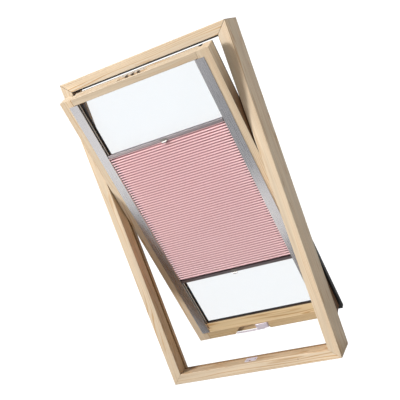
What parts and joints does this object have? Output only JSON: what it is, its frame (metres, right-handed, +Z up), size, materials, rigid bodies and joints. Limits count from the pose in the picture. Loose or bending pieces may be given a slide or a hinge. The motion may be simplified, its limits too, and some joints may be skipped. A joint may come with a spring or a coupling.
{
  "type": "skylight window blind",
  "caption": "Pine pivot roof window, sash tilted open, with a pleated blind between sliding rails guided in side channels on the sash.",
  "frame": {"origin": "centre of the frame sill's underside, mid depth", "axes": "+Z up along the frame's jambs, +X across the window to the right as seen from the room, -Y towards the room"},
  "size_m": [0.78, 0.4778, 1.398],
  "materials": {
    "pine": "satin lacquer",
    "rubber": "matt",
    "brown_rubber": "matt",
    "coated_aluminium": "matt powder coat",
    "zinc_plated_steel": "satin",
    "anodised_aluminium": "satin anodised",
    "glass": "clear",
    "spacer": "dull",
    "glider_plastic": "matt",
    "tab_plastic": "silver gloss",
    "pleated_polyester": "matt woven",
    "nylon_cord": "fine cord"
  },
  "bodies": {
    "frame": {"frame_head": "pine", "frame_sill": "pine", "frame_jamb_left": "pine", "frame_jamb_right": "pine", "head_seal": "rubber", "sill_seal": "brown_rubber", "upper_seal_left": "rubber", "upper_seal_right": "rubber", "lower_seal_left": "brown_rubber", "lower_seal_right": "brown_rubber", "frame_hinge_left": "zinc_plated_steel", "frame_hinge_right": "zinc_plated_steel", "strike_plate": "zinc_plated_steel"},
    "sash": {"sash_head": "pine", "sash_sill": "pine", "sash_stile_left": "pine", "sash_stile_right": "pine", "inner_pane": "glass", "outer_pane": "glass", "spacer_head": "spacer", "spacer_sill": "spacer", "spacer_left": "spacer", "spacer_right": "spacer", "gasket_head": "rubber", "gasket_sill": "rubber", "gasket_left": "rubber", "gasket_right": "rubber", "sash_cover_head": "coated_aluminium", "sash_cover_sill": "coated_aluminium", "sash_cover_upper_left": "coated_aluminium", "sash_cover_upper_right": "coated_aluminium", "sash_cover_lower_left": "coated_aluminium", "sash_cover_lower_right": "coated_aluminium", "sash_hinge_left": "zinc_plated_steel", "sash_hinge_right": "zinc_plated_steel", "keeper_plate": "zinc_plated_steel", "handle_case": "zinc_plated_steel", "side_rail_left": "anodised_aluminium", "side_rail_right": "anodised_aluminium", "tension_cord_left": "nylon_cord", "tension_cord_right": "nylon_cord"},
    "lever": {"handle_lever": "zinc_plated_steel"},
    "latch": {"latch_tongue": "zinc_plated_steel"},
    "top_rail": {"top_rail": "anodised_aluminium", "top_rail_tab": "tab_plastic", "top_glider_left": "glider_plastic", "top_glider_right": "glider_plastic", "fabric_upper": "pleated_polyester"},
    "bottom_rail": {"bottom_rail": "anodised_aluminium", "bottom_rail_tab": "tab_plastic", "bottom_glider_left": "glider_plastic", "bottom_glider_right": "glider_plastic", "fabric_lower": "pleated_polyester"}
  },
  "joints": [
    {"name": "sash_pivot", "type": "hinge", "parent": "frame", "child": "sash", "pos_m": [0, -0.0312, 0.9293], "axis": [1, 0, 0], "range_deg": [-17.35, 132.65]},
    {"name": "lever_hinge", "type": "hinge", "parent": "sash", "child": "lever", "pos_m": [-0.011, 0.20761, 0.08175], "axis": [0, -0.2982, 0.9545], "range_deg": [0, 40]},
    {"name": "latch_slide", "type": "slide", "parent": "sash", "child": "latch", "axis": [0, -0.2982, 0.9545], "range_m": [0, 0.0075]},
    {"name": "top_rail_slide", "type": "slide", "parent": "sash", "child": "top_rail", "axis": [0, -0.2982, 0.9545], "range_m": [-0.19, 0.243], "deforming": ["fabric_upper"]},
    {"name": "bottom_rail_slide", "type": "slide", "parent": "sash", "child": "bottom_rail", "axis": [0, -0.2982, 0.9545], "range_m": [-0.287, 0.19], "deforming": ["fabric_lower"]}
  ],
  "couplings": [
    {"joint": "latch_slide", "follows": "lever_hinge", "m_per_rad": 0.0107}
  ]
}
